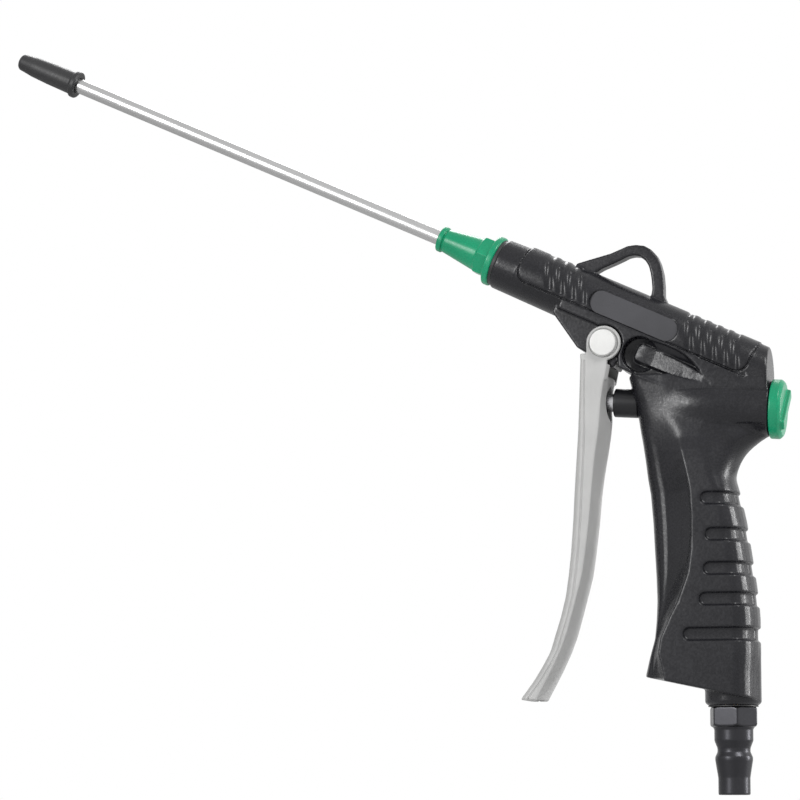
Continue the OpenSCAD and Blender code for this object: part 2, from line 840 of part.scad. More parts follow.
module pivot_pin() {
    groove_at = lever_half + 2 * seat_gap;
    color(bright)
    along_pivot() {
        difference() {
            rod(pin_r, -lever_half - 2 * seat_gap - over / 10,
                groove_at + clip_t + pin_end_len + 2 * seat_gap);
            tube(2 * pin_r, pin_r - pin_groove_depth, groove_at, groove_at + clip_t + 2 * seat_gap);
        }
        rod(pin_head_r, -lever_half - 2 * seat_gap - pin_head_h, -lever_half - 2 * seat_gap);
    }
}

module pivot_clip() {
    color(steel)
    along_pivot()
        difference() {
            tube(clip_r, pin_r - pin_groove_depth + seat_gap, lever_half + 3 * seat_gap,
                lever_half + 3 * seat_gap + clip_t);
            translate([0, -clip_gap / 2, 0])
                cube([2 * clip_r, clip_gap, 2 * lever_w]);
        }
}

// Valve

module stem_guide() {
    o_seat = shank_rear - o_ring_d - 2 * seat_gap;
    color(rubber)
    along_valve()
        difference() {
            union() {
                rod(nose_r, nose_front, guide_seat - seat_gap);
                rod(shank_r, guide_seat - nose_r, shank_rear);
            }
            rod(stem_r + running_gap, nose_front - over, shank_rear + over);
            rod(button_r + running_gap, nose_front - over, guide_seat - seat_gap);
            rod(stem_r + o_ring_d + 2 * seat_gap, o_seat, shank_rear + over);
            tube(2 * shank_r, shank_r - o_ring_d, (guide_seat + shank_rear - o_ring_d) / 2 - seat_gap,
                (guide_seat + shank_rear + o_ring_d) / 2 + seat_gap);
        }
}

module guide_o_ring() {
    color(rubber)
    along_valve()
        o_ring(shank_r + seat_gap / 2 - o_ring_d / 2, (guide_seat + shank_rear) / 2);
}

module stem_o_ring() {
    color(rubber)
    along_valve()
        o_ring(stem_r + seat_gap + o_ring_d / 2, shank_rear - o_ring_d / 2 - seat_gap);
}

module push_button() {
    color(bright)
    along_valve()
        difference() {
            intersection() {
                rod(button_r, button_front, button_rear);
                translate([0, 0, button_front + 1.6 * button_r])
                    sphere(r = 1.6 * button_r);
                rod(2 * button_r, button_front - over, button_rear + over);
            }
            rod(stem_r + seat_gap, stem_front - seat_gap, button_rear + over);
        }
}

module valve_stem() {
    color(steel)
    along_valve()
        rod(stem_r, stem_front, stem_end);
}

module poppet_seal() {
    color(rubber)
    along_valve()
        tube(poppet_r, stem_r + seat_gap, seal_front, seal_front + seal_t);
}

module valve_poppet() {
    color(brass)
    along_valve()
        tube(poppet_r, stem_r + seat_gap, poppet_front, poppet_rear);
}

module poppet_nut() {
    color(steel)
    along_valve()
        difference() {
            translate([0, 0, poppet_rear + seat_gap])
                cylinder(h = stem_nut_t, d = stem_nut_flats / cos(30), $fn = 6);
            rod(stem_r + seat_gap, poppet_rear - over, stem_end + over);
        }
}

module valve_seat() {
    mid = (seat_front + seat_rear) / 2;
    color(brass)
    along_valve()
        difference() {
            tube(chamber_r - seat_gap, seat_hole_r, seat_front + seat_gap, seat_rear);
            tube(2 * chamber_r, chamber_r - seat_gap - o_ring_d, mid - o_ring_d / 2 - seat_gap,
                mid + o_ring_d / 2 + seat_gap);
        }
}

module seat_o_ring() {
    color(rubber)
    along_valve()
        o_ring(chamber_r - seat_gap / 2 - o_ring_d / 2, (seat_front + seat_rear) / 2);
}

// The spring is one round wire wound from the poppet to the cap's pocket
spring_len = spring_end - poppet_rear - 2 * wire_r - 4 * seat_gap;
spring_pitch = spring_len / spring_turns;
helix_angle = atan(spring_pitch / (2 * PI * spring_r));
function wire_ring(t) = let (
    a = 360 * t,
    out = [cos(a), sin(a), 0],
    side = [-sin(helix_angle) * sin(a), sin(helix_angle) * cos(a), -cos(helix_angle)],
    mid = spring_r * out + [0, 0, spring_pitch * t])
    [for (b = [0:60:300]) mid + wire_r * (cos(b) * out + sin(b) * side)];
echo(spring_least_gap = spring_pitch * cos(helix_angle) - 2 * wire_r);

module valve_spring() {
    color(steel)
    along_valve()
        translate([0, 0, poppet_rear + wire_r + 2 * seat_gap])
            skin([for (t = [0:1 / 8:spring_turns]) wire_ring(t)]);
}

module rear_cap() {
    back = cap_seat + moving_gap;
    color(green)
    along_valve()
        difference() {
            union() {
                rod(cap_r, back, back + cap_t);
                translate([0, 0, back + cap_t])
                    cylinder(h = cap_chamfer, r1 = cap_r, r2 = cap_r - cap_chamfer);
                rod(spigot_r, cap_seat - spigot_len, back + cap_t);
                intersection() {
                    rotate([0, 0, 45])
                        translate([-bar_w / 2, -cap_r, back])
                            cube([bar_w, 2 * cap_r, cap_t + cap_chamfer + cap_bar_h]);
                    rod(cap_r - cap_chamfer, back, back + 2 * cap_t);
                }
            }
            rod(spring_pocket_r, cap_seat - spigot_len - over, spring_end + seat_gap);
            tube(2 * spigot_r, spigot_r - o_ring_d, cap_seat - spigot_len / 2 - o_ring_d / 2 - seat_gap,
                cap_seat - spigot_len / 2 + o_ring_d / 2 + seat_gap);
        }
}

module cap_o_ring() {
    color(rubber)
    along_valve()
        o_ring(spigot_r + seat_gap / 2 - o_ring_d / 2, cap_seat - spigot_len / 2);
}

// Inlet

module inlet_insert() {
    color(brass)
    difference() {
        rod(insert_r, boss_base, boss_base + insert_len);
        rod(thread_r + seat_gap, boss_base - over, boss_base + insert_shoulder);
        rod(insert_throat_r, boss_base, boss_base + insert_len + over);
    }
}

module inlet_screen() {
    foot = boss_base + insert_len + seat_gap;
    color(steel)
    difference() {
        rod(insert_r, foot, foot + screen_t);
        rod(insert_throat_r, foot + screen_floor_t, foot + screen_t + over);
        for (i = [0:screen_holes - 1])
            rotate([0, 0, 360 * i / screen_holes])
                translate([insert_throat_r / 2, 0, 0])
                    rod(screen_hole_r, foot - over, foot + screen_t);
        rod(screen_hole_r, foot - over, foot + screen_t);
    }
}

module plug_washer() {
    color(rubber)
    tube(boss_r - boss_chamfer, thread_r + seat_gap, boss_base - seat_gap - washer_t, boss_base - seat_gap);
}

module inlet_plug() {
    hex_top = boss_base - washer_t - 2 * seat_gap;
    corner = plug_flats / cos(30) / 2;
    color(dark_steel)
    difference() {
        union() {
            rotate_extrude()
                polygon([[0, 0], [plug_r, 0], [plug_r, plug_nose_len],
                    [plug_collar_r, plug_collar_at], [plug_collar_r, plug_collar_at + plug_collar_len],
                    [plug_waist_r, plug_waist_at], [plug_waist_r, plug_waist_at + plug_waist_len],
                    [plug_neck_r, plug_neck_at], [plug_neck_r, plug_neck_end],
                    [plug_neck_r + plug_step, plug_hex_at], [plug_neck_r + plug_step, hex_top - over],
                    [0, hex_top - over]]);
            intersection() {
                rotate([0, 0, plug_turn])
                    translate([0, 0, plug_hex_at])
                        cylinder(h = hex_top - plug_hex_at, r = corner, $fn = 6);
                rotate_extrude()
                    polygon([[0, plug_hex_at], [corner - 1.4 * plug_hex_chamfer, plug_hex_at],
                        [corner, plug_hex_at + plug_hex_chamfer], [corner, hex_top - plug_hex_chamfer],
                        [corner - 1.4 * plug_hex_chamfer, hex_top], [0, hex_top]]);
            }
            rod(thread_r, hex_top - over, hex_top + thread_len);
        }
        rod(plug_bore_r, -over, hex_top + thread_len + over);
    }
}

// Nozzle

module outlet_insert() {
    color(brass)
    along_barrel()
        difference() {
            rod(outlet_insert_r, -outlet_insert_len, 0);
            rod(nut_spigot_r + seat_gap, -nut_spigot_len - collar_t - 4 * seat_gap, over);
            rod(air_bore_r, -outlet_insert_len - over, 0);
        }
}

module nozzle_ring() {
    color(rubber)
    along_barrel()
        tube(barrel_r - rib_slot_depth, nut_spigot_r + seat_gap, seat_gap, ring_t - seat_gap);
}

module nozzle_nut() {
    hex_at = ring_t + nut_flange_t;
    cone_at = hex_at + nut_hex_len;
    lip_at = nut_len - nut_lip_t;
    corner = nut_flats / cos(30) / 2;
    color(green)
    along_barrel()
        difference() {
            union() {
                rod(nut_spigot_r, -nut_spigot_len, hex_at);
                rotate_extrude()
                    polygon([[0, ring_t], [barrel_r - nut_groove, ring_t],
                        [barrel_r, ring_t + nut_groove], [barrel_r, hex_at - nut_groove],
                        [barrel_r - nut_groove, hex_at], [nut_cone_r, hex_at], [nut_cone_r, cone_at],
                        [nut_nose_r, lip_at - nut_groove], [nut_nose_r - nut_groove, lip_at - nut_groove],
                        [nut_nose_r - nut_groove, lip_at], [nut_lip_r, lip_at],
                        [nut_lip_r, nut_len - nut_groove], [nut_lip_r - nut_groove, nut_len], [0, nut_len]]);
                intersection() {
                    rotate([0, 0, 90])
                        translate([0, 0, hex_at])
                            cylinder(h = nut_hex_len, r = corner, $fn = 6);
                    rotate_extrude()
                        polygon([[0, hex_at], [corner, hex_at], [corner, cone_at - plug_hex_chamfer],
                            [nut_flats / 2, cone_at], [0, cone_at]]);
                }
            }
            rod(tube_r + seat_gap, -nut_spigot_len - over, nut_len + over);
        }
}

module tube_collar() {
    color(brass)
    along_barrel()
        tube(collar_r, tube_r + seat_gap, -nut_spigot_len - seat_gap - collar_t, -nut_spigot_len - seat_gap);
}

module extension_tube() {
    color(steel)
    along_barrel()
        tube(tube_r, tube_r - tube_wall, -tube_in - seat_gap, tip_start + tube_grip_len);
}

module nozzle_tip() {
    soft = tip_len - tip_rim_len;
    color(rubber)
    along_barrel()
        translate([0, 0, tip_start])
            difference() {
                rotate_extrude()
                    polygon([[0, 0], [tip_rim_r - tip_rim_len / 8, 0], [tip_rim_r, tip_rim_len / 6],
                        [tip_rim_r, tip_rim_len * 0.8], [tip_rim_r - tip_rim_len / 8, tip_rim_len],
                        [tip_r, tip_rim_len], [tip_r, tip_rim_len + 0.07 * soft],
                        [0.96 * tip_r, tip_rim_len + 0.45 * soft], [0.885 * tip_r, tip_rim_len + 0.73 * soft],
                        [0.77 * tip_r, tip_rim_len + 0.89 * soft],
                        [0.3 * tip_r + 0.7 * tip_nose_r, tip_rim_len + 0.96 * soft],
                        [tip_nose_r, tip_len - 0.01 * soft],
                        [tip_nose_r - 0.02 * soft, tip_len], [0, tip_len]]);
                rod(tube_r + seat_gap, -over, tube_grip_len + seat_gap);
                rod(outlet_r, -over, tip_len + over);
            }
}

body_housing();
side_labels();
lever();
pivot_pin();
pivot_clip();
stem_guide();
guide_o_ring();
stem_o_ring();
push_button();
valve_stem();
valve_poppet();
poppet_seal();
poppet_nut();
valve_seat();
seat_o_ring();
valve_spring();
rear_cap();
cap_o_ring();
inlet_insert();
inlet_screen();
plug_washer();
inlet_plug();
outlet_insert();
nozzle_ring();
nozzle_nut();
tube_collar();
extension_tube();
nozzle_tip();
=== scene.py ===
"""Looks for the pneumatic air duster: rounded castings and mouldings, finishes, light and camera."""
import json
import math

import bpy
import numpy as np
import openvdb as vdb
from mathutils import Matrix, Vector

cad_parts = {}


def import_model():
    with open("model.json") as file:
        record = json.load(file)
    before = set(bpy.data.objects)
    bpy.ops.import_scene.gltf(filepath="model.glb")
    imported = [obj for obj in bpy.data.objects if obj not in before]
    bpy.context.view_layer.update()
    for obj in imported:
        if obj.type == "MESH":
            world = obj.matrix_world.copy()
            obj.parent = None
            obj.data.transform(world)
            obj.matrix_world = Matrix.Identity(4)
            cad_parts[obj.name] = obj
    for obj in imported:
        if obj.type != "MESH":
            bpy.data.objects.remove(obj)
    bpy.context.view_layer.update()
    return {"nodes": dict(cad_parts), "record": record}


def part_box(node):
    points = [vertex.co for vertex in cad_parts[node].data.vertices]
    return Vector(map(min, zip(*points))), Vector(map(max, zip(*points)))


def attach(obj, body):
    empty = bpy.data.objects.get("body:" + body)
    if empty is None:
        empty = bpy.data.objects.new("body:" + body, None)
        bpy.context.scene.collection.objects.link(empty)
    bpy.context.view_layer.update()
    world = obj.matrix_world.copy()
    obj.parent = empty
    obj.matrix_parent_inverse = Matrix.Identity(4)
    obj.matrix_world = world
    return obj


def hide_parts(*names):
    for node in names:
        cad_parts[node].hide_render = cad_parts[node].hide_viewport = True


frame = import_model()
nodes = frame["nodes"]
scene = bpy.context.scene

MM = 0.001

# All shapes are worked out in millimetres, in the frame of the solids.
# The barrel slopes up to the front; AHEAD runs along it and ABOVE across it.
TILT = math.radians(24.7)
AHEAD = np.array((-math.cos(TILT), 0, math.sin(TILT)))
ABOVE = np.array((math.sin(TILT), 0, math.cos(TILT)))
AXIS_H = 139.6
BARREL_LEN = 83.1
BARREL = (0, 0, AXIS_H)
BARREL_FRONT = np.array(BARREL) + BARREL_LEN * AHEAD
# The valve lies across the top of the grip, and REARWARD points to its cap
VALVE_TILT = math.radians(4)
VALVE = np.array((0, 0, 124.2))
REARWARD = np.array((math.cos(VALVE_TILT), 0, -math.sin(VALVE_TILT)))
# The middle of the lever's pin
PIVOT = np.array(BARREL) + 38.4 * AHEAD - 11.25 * ABOVE
SIDEWAYS = np.array((0.0, 1.0, 0.0))
UP = np.array((0.0, 0.0, 1.0))

PIN_BORE_R = 2.55
TUBE_BORE_R = 2.55


# Signed distances on a lattice, negative inside

def across(values, axis):
    """A row of values laid along one axis of a lattice."""
    return values.astype(np.float32).reshape([-1 if axis == b else 1 for b in range(3)])


def blurred(values, cells):
    """The array smoothed along each axis by a bell curve of that many cells."""
    reach = max(1, int(3 * cells + 0.5))
    weights = np.exp(-0.5 * (np.arange(-reach, reach + 1) / cells) ** 2)
    weights /= weights.sum()
    for axis in range(3):
        total = np.zeros_like(values)
        for i, weight in enumerate(weights):
            total += np.float32(weight) * np.roll(values, i - reach, axis)
        values = total
    return values


def evened(line, turns):
    """The line's running mean over that many places to either side."""
    return np.convolve(np.pad(line, turns, "edge"), np.ones(2 * turns + 1) / (2 * turns + 1), "valid")


def smooth_step(value, low, high):
    t = np.clip((value - low) / (high - low), 0, 1)
    return t * t * (3 - 2 * t)


def overlap(*shapes):
    """The part that all the shapes share."""
    shared = shapes[0]
    for shape in shapes[1:]:
        shared = np.maximum(shared, shape)
    return shared


def rounded_corner(a, b, radius):
    """Where a and b meet, with a round corner; each is the distance past the corner's middle."""
    return np.sqrt(np.maximum(a, 0) ** 2 + np.maximum(b, 0) ** 2) + np.minimum(np.maximum(a, b), 0) - radius


def rounded_box(x, y, low, high, radius):
    """The distance to a rectangle with round corners, in two coordinates."""
    dx = np.abs(x - (low[0] + high[0]) / 2) - (high[0] - low[0]) / 2 + radius
    dy = np.abs(y - (low[1] + high[1]) / 2) - (high[1] - low[1]) / 2 + radius
    return rounded_corner(dx, dy, radius)


class Field:
    """Distances to a surface on a box of cubic cells."""

    def __init__(self, low, high, cell):
        self.cell = cell
        self.first = np.floor(np.array(low) / cell).astype(int)
        self.shape = tuple(int(n) for n in np.ceil(np.array(high) / cell).astype(int) - self.first)
        self.x, self.y, self.z = (across(self.places(a), a) for a in range(3))
        self.value = np.full(self.shape, 2.0, np.float32)

    def places(self, axis):
        """The coordinates of the lattice's points along one axis."""
        return (self.first[axis] + np.arange(self.shape[axis])) * self.cell

    def load(self, mesh, band):
        """Takes the distances to the mesh, up to that band on both sides."""
        points = np.empty(len(mesh.vertices) * 3, np.float32)
        mesh.vertices.foreach_get("co", points)
        mesh.calc_loop_triangles()
        tris = np.empty(len(mesh.loop_triangles) * 3, np.int32)
        mesh.loop_triangles.foreach_get("vertices", tris)
        grid = vdb.FloatGrid.createLevelSetFromPolygons(
            points.reshape(-1, 3) / MM, triangles=tris.reshape(-1, 3).astype(np.uint32),
            transform=vdb.createLinearTransform(voxelSize=self.cell), halfWidth=band / self.cell)
        grid.copyToArray(self.value, ijk=tuple(int(i) for i in self.first))
        return self

    def along(self, place, direction):
        """How far each point lies past the place in that direction."""
        return ((self.x - place[0]) * direction[0] + (self.y - place[1]) * direction[1]
                + (self.z - place[2]) * direction[2])

    def radius(self, place, direction):
        """How far each point lies from the line through the place in that direction."""
        t = self.along(place, direction)
        square = (self.x - place[0]) ** 2 + (self.y - place[1]) ** 2 + (self.z - place[2]) ** 2 - t ** 2
        return np.sqrt(np.maximum(square, 0))

    def rod(self, place, direction, radius, start, end):
        t = self.along(place, direction)
        return np.maximum(self.radius(place, direction) - radius,
                          np.abs(t - (start + end) / 2) - (end - start) / 2)

    def add(self, other):
        self.value = np.minimum(self.value, other)

    def cut(self, other):
        self.value = np.maximum(self.value, -other)

    def engrave(self, line, depth):
        """Cuts where the line's own distance is negative, down to that depth."""
        self.value = np.maximum(self.value, -np.maximum(line, -(self.value + depth)))

    def blur(self, size):
        self.value = blurred(self.value, size / self.cell)

    def values_for(self, other):
        """This field's values at the points of another field."""
        values = self.value
        for axis in range(3):
            last = values.shape[axis] - 1
            at = (other.places(axis) - self.first[axis] * self.cell) / self.cell
            low = np.clip(np.floor(at).astype(int), 0, last)
            high = np.clip(low + 1, 0, last)
            part = across(np.clip(at - low, 0, 1), axis)
            values = np.take(values, low, axis) * (1 - part) + np.take(values, high, axis) * part
        return values

    def mesh(self, name, share):
        """The surface as an object, thinned to that share of its faces."""
        grid = vdb.FloatGrid(float(self.value.max()))
        grid.transform = vdb.createLinearTransform(voxelSize=self.cell)
        grid.copyFromArray(self.value, ijk=tuple(int(i) for i in self.first))
        points, tris, quads = grid.convertToPolygons(0.0, 0.0)
        mesh = bpy.data.meshes.new(name)
        mesh.vertices.add(len(points))
        mesh.vertices.foreach_set("co", (points * MM).astype(np.float32).ravel())
        corners = np.concatenate([quads[:, ::-1].ravel(), tris[:, ::-1].ravel()]).astype(np.int32)
        starts = np.concatenate([np.arange(len(quads)) * 4,
                                 4 * len(quads) + np.arange(len(tris)) * 3]).astype(np.int32)
        mesh.loops.add(len(corners))
        mesh.loops.foreach_set("vertex_index", corners)
        mesh.polygons.add(len(starts))
        mesh.polygons.foreach_set("loop_start", starts)
        mesh.update(calc_edges=True)
        mesh.validate()
        obj = bpy.data.objects.new(name, mesh)
        scene.collection.objects.link(obj)
        obj.modifiers.new("thin", "DECIMATE").ratio = share
        thinned = obj.evaluated_get(bpy.context.evaluated_depsgraph_get())
        mesh = bpy.data.meshes.new_from_object(thinned)
        obj.modifiers.clear()
        obj.data = mesh
        mesh.polygons.foreach_set("use_smooth", np.ones(len(mesh.polygons), bool))
        return obj


def node_field(node, cell, band, margin=1.0):
    low, high = (np.array(c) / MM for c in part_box(node))
    return Field(low - margin, high + margin, cell).load(nodes[node].data, band)


# Materials

class Paint:
    """A material's node tree, built step by step."""

    def __init__(self, name):
        self.material = bpy.data.materials.new(name)
        self.material.use_nodes = True
        self.tree = self.material.node_tree
        self.bsdf = self.tree.nodes["Principled BSDF"]
        self.place = self.add("ShaderNodeTexCoord").outputs["Object"]
        self.normal = None

    def add(self, kind, **values):
        node = self.tree.nodes.new(kind)
        for key, value in values.items():
            setattr(node, key, value)
        return node

    def link(self, a, b):
        self.tree.links.new(a, b)

    def noise(self, size, detail=3.0, rough=0.5, stretch=None, turn=(0, 0, 0)):
        """Noise with features of about that size in metres."""
        node = self.add("ShaderNodeTexNoise")
        node.inputs["Scale"].default_value = 1 / size
        node.inputs["Detail"].default_value = detail
        node.inputs["Roughness"].default_value = rough
        place = self.place
        if stretch:
            mapping = self.add("ShaderNodeMapping")
            mapping.vector_type = "TEXTURE"
            mapping.inputs["Rotation"].default_value = turn
            mapping.inputs["Scale"].default_value = stretch
            self.link(place, mapping.inputs["Vector"])
            place = mapping.outputs["Vector"]
        self.link(place, node.inputs["Vector"])
        return node.outputs["Fac"]

    def ramp(self, value, low, high, start=0.0, end=1.0):
        node = self.add("ShaderNodeMapRange")
        node.inputs["From Min"].default_value = low
        node.inputs["From Max"].default_value = high
        node.inputs["To Min"].default_value = start
        node.inputs["To Max"].default_value = end
        self.link(value, node.inputs["Value"])
        return node.outputs["Result"]

    def mix(self, factor, a, b):
        """Goes from a to b, each a colour or a socket."""
        node = self.add("ShaderNodeMix", data_type="RGBA")
        self.link(factor, node.inputs["Factor"])
        for value, key in ((a, "A"), (b, "B")):
            socket = [s for s in node.inputs if s.name == key and s.type == "RGBA"][0]
            if isinstance(value, tuple):
                socket.default_value = (*value, 1)
            else:
                self.link(value, socket)
        return [s for s in node.outputs if s.type == "RGBA"][0]

    def bump(self, value, distance, strength=1.0):
        node = self.add("ShaderNodeBump")
        node.inputs["Distance"].default_value = distance
        node.inputs["Strength"].default_value = strength
        self.link(value, node.inputs["Height"])
        if self.normal is not None:
            self.link(self.normal, node.inputs["Normal"])
        self.normal = node.outputs["Normal"]
        self.link(self.normal, self.bsdf.inputs["Normal"])

    def colour(self, value):
        self.link(value, self.bsdf.inputs["Base Color"])

    def rough(self, value, middle, spread):
        """Lets the roughness follow the value, that far to either side of the middle."""
        self.link(self.ramp(value, 0.3, 0.7, middle - spread, middle + spread), self.bsdf.inputs["Roughness"])

    def finished(self, metallic, specular):
        self.bsdf.inputs["Metallic"].default_value = metallic
        self.bsdf.inputs["Specular IOR Level"].default_value = specular
        return self.material


PLASTIC_CLOUDS = 14 * MM
PLASTIC_WAVES = 0.03 * MM
METAL_CLOUDS = 9 * MM
FLECK_GAIN = 1.7


def plastic(name, dark, light, rough, grain, depth, specular=0.35, fleck=0.3):
    """Moulded plastic: two tones in soft clouds, under fine grain with lighter flecks."""
    paint = Paint(name)
    soft = paint.noise(PLASTIC_CLOUDS, 2)
    fine = paint.noise(grain, 4, 0.6)
    tone = paint.mix(paint.ramp(soft, 0.35, 0.65), dark, light)
    flecks = tuple(min(1, FLECK_GAIN * c) for c in light)
    tone = paint.mix(paint.ramp(fine, 0.5, 0.8, 0, fleck), tone, flecks)
    paint.colour(tone)
    paint.rough(fine, rough, 0.07)
    paint.bump(fine, depth)
    paint.bump(soft, PLASTIC_WAVES, 0.5)
    return paint.finished(0.0, specular)


def metal(name, colour, rough, grain=0.35 * MM, depth=0.006 * MM, stretch=None, turn=(0, 0, 0), vary=0.12,
          metallic=1.0, specular=0.5):
    """Metal: soft clouds, darker by the share vary, under fine grain that can be stretched to a brushing."""
    paint = Paint(name)
    fine = paint.noise(grain, 3, 0.6, stretch, turn)
    soft = paint.noise(METAL_CLOUDS, 2)
    darker = tuple(c * (1 - vary) for c in colour)
    paint.colour(paint.mix(paint.ramp(soft, 0.3, 0.7), darker, colour))
    paint.rough(fine, rough, 0.06)
    paint.bump(fine, depth)
    return paint.finished(metallic, specular)


RECIPES = {
    "housing": (plastic, dict(
        dark=(0.0085, 0.0085, 0.0105), light=(0.0125, 0.0125, 0.015), rough=0.28,
        grain=0.75 * MM, depth=0.04 * MM, specular=0.28, fleck=0.6)),
    "label": (plastic, dict(
        dark=(0.038, 0.038, 0.042), light=(0.050, 0.050, 0.056), rough=0.45,
        grain=0.3 * MM, depth=0.01 * MM, specular=0.25)),
    "green_trim": (plastic, dict(
        dark=(0.002, 0.235, 0.110), light=(0.004, 0.275, 0.132), rough=0.30,
        grain=0.6 * MM, depth=0.008 * MM, specular=0.35, fleck=0.06)),
    "lever_metal": (metal, dict(
        colour=(0.43, 0.43, 0.425), rough=0.52, grain=0.7 * MM, depth=0.045 * MM,
        stretch=(1, 1, 5), vary=0.08, metallic=0.06, specular=0.35)),
    "pin_metal": (metal, dict(
        colour=(0.62, 0.62, 0.61), rough=0.45, grain=0.6 * MM, depth=0.03 * MM,
        vary=0.10, metallic=0.12, specular=0.4)),
    "black_nylon": (plastic, dict(
        dark=(0.008, 0.008, 0.009), light=(0.013, 0.013, 0.015), rough=0.34,
        grain=0.4 * MM, depth=0.008 * MM, specular=0.25)),
    "steel": (metal, dict(colour=(0.60, 0.60, 0.62), rough=0.3)),
    "tube_metal": (metal, dict(
        colour=(0.47, 0.47, 0.47), rough=0.26, grain=0.4 * MM, depth=0.001 * MM,
        stretch=(12, 1, 1), turn=(0, TILT, 0), vary=0.04)),
    "plug_metal": (metal, dict(colour=(0.042, 0.042, 0.046), rough=0.34)),
    "brass": (metal, dict(colour=(0.75, 0.53, 0.22), rough=0.3)),
    "rubber": (plastic, dict(
        dark=(0.014, 0.014, 0.015), light=(0.020, 0.020, 0.021), rough=0.46,
        grain=0.6 * MM, depth=0.03 * MM, specular=0.4)),
}
MATERIALS = {name: make(name, **values) for name, (make, values) in RECIPES.items()}

slots = {s["node"]: s["material_slot"] for s in frame["record"]["subparts"]}
bodies = {n: b for b, members in frame["record"]["behaviour"]["bodies"].items() for n in members}
for node, obj in nodes.items():
    for s in obj.material_slots:
        s.material = MATERIALS[slots[node]]
    if not obj.material_slots:
        obj.data.materials.append(MATERIALS[slots[node]])


def stand_for(obj, node):
    obj.data.materials.append(MATERIALS[slots[node]])
    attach(obj, bodies[node])
    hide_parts(node)


# Body

# Bores that open to the outside: place, direction, radius, start and end
BODY_BORES = [
    (VALVE, REARWARD, 4.7, -42, -29.5),  # the guide's nose
    (VALVE, REARWARD, 7.05, 5.9, 15),  # the cap
    (np.zeros(3), UP, 7.35, 27, 47.45),  # the inlet's insert
    (BARREL_FRONT, AHEAD, 6.45, -16.05, 1),  # the outlet's insert
    (PIVOT, SIDEWAYS, PIN_BORE_R, -9, 9),
]
# Where web, guide, grip and housing flow into each other: middles in x and z, and how far each blend reaches
BLENDS = [(-24, 124, 10), (-19, 118, 9), (3, 109, 13)]
# The grip's crease, from its foot up, in x and z
CREASE = np.array([(-20.2, 37.5), (-22.9, 47.4), (-18.9, 55.3), (-13.7, 68.6), (-11.2, 80), (-11.0, 90),
                   (-12.0, 100), (-14.5, 111), (-18.0, 121.5)])
CREASE_DEPTH = 0.55
VALLEY_WIDTH = 3.2
# Middles of the finger grooves and the middles of their round front ends
GROOVE_HEIGHTS = [50.7, 61.8, 71.5, 82.4, 94.0]
GROOVE_STARTS = [-11.9, -6.7, -5.3, -4.6, -6.0]
GROOVE_R = 2.1
GROOVE_DEPTH = 0.45
# The radius of the valve housing's rear part, how much more it has in front, and the place of its cap end
HOUSING_R = 9.22
HOUSING_SWELL = 0.9
HOUSING_END = 13.0
# The rib in the pocket: the corners of its outline ahead and above, its middle line, how far out its top
# lies in front, and how much further behind
RIB_LOW, RIB_HIGH = (4.0, -9.4 - 2.8), (27.9, -9.4 + 2.7)
RIB_LINE = -9.45
RIB_TOP = 6.0
RIB_RISE = 2.75
# The hollow around the rib's front end: middle ahead and above, radius, and half the web's thickness there
HOLLOW = (26.3, -9.9)
HOLLOW_R = 5.6
HOLLOW_WEB = 2.7
# The cowl over the barrel: the corners of its outline ahead and above, and the radius of what lies under it
COWL_LOW, COWL_HIGH = (-7.7, -3.2), (74.8, 60)
UNDER_COWL_R = 8.9
# Middles of the two rows of upright grooves along the barrel
GROOVE_ROWS = (59, 5)


def barrel_places(field):
    return field.along(BARREL, AHEAD), field.along(BARREL, ABOVE)


def crease(field, side):
    """A sharp crease along the grip with a soft valley ahead of it."""
    line = np.interp(field.z.ravel(), CREASE[:, 1], CREASE[:, 0])
    front = across(evened(line, int(3 / field.cell)), 2) - field.x
    valley = CREASE_DEPTH * smooth_step(front, -0.2, 0.4) * np.exp(-np.maximum(front, 0) / VALLEY_WIDTH)
    valley = valley * smooth_step(field.z, 31, 37) * (1 - smooth_step(field.z, 86, 112))
    field.value += (valley * smooth_step(side, 4.5, 7.5)).astype(np.float32)


def housing_dome(field, side):
    """The valve housing swells towards a domed front end, and flows into the flat side around it."""
    along = field.along(VALVE, REARWARD)
    swell = HOUSING_R + HOUSING_SWELL * (1 - smooth_step(along, -6, 9))
    dome = np.sqrt(field.radius(VALVE, REARWARD) ** 2 + (0.55 * np.minimum(along + 7, 0)) ** 2) - swell
    dome = np.maximum(dome, along - HOUSING_END)
    gap = np.clip(0.5 - np.abs(dome - field.value) / 2.6, 0, 0.5)
    merged = np.minimum(dome, field.value) - gap * gap * 1.3
    reach = smooth_step(side, 7.0, 8.0) * (1 - smooth_step(field.z, 129.2, 129.5))
    field.value = np.where(reach > 0, field.value * (1 - reach) + merged * reach, field.value)


def pocket_rib(field, side):
    """The rib in the pocket has a square front end, and rises and narrows towards the flat side behind."""
    ahead, above = barrel_places(field)
    top = RIB_TOP + RIB_RISE * np.clip((21.8 - ahead) / 19, 0, 1)
    rib = rounded_box(ahead, above, RIB_LOW, RIB_HIGH, 1.2)
    rib = np.maximum(rib, np.abs(above - RIB_LINE) - 2.8 + 1.7 * np.clip((19 - ahead) / 15, 0, 1) ** 2)
    field.cut(np.maximum(rib, top - side))
    field.add(overlap(rib, side - top, 4 - side))
    from_end = np.hypot(ahead - HOLLOW[0], above - HOLLOW[1])
    bowl = HOLLOW_WEB + 1.5 * (from_end / HOLLOW_R) ** 2
    field.cut(overlap(from_end - HOLLOW_R, 0.4 - rib, bowl - side))


def crest(field):
    """Fills the upright grooves over the top, so that they are shallower there than on the sides."""
    ahead, above = barrel_places(field)
    top = np.maximum(field.radius(BARREL, AHEAD) - 9.0, 6 - above)
    for middle in GROOVE_ROWS:
        field.add(np.maximum(top, np.abs(ahead - middle) - 12))


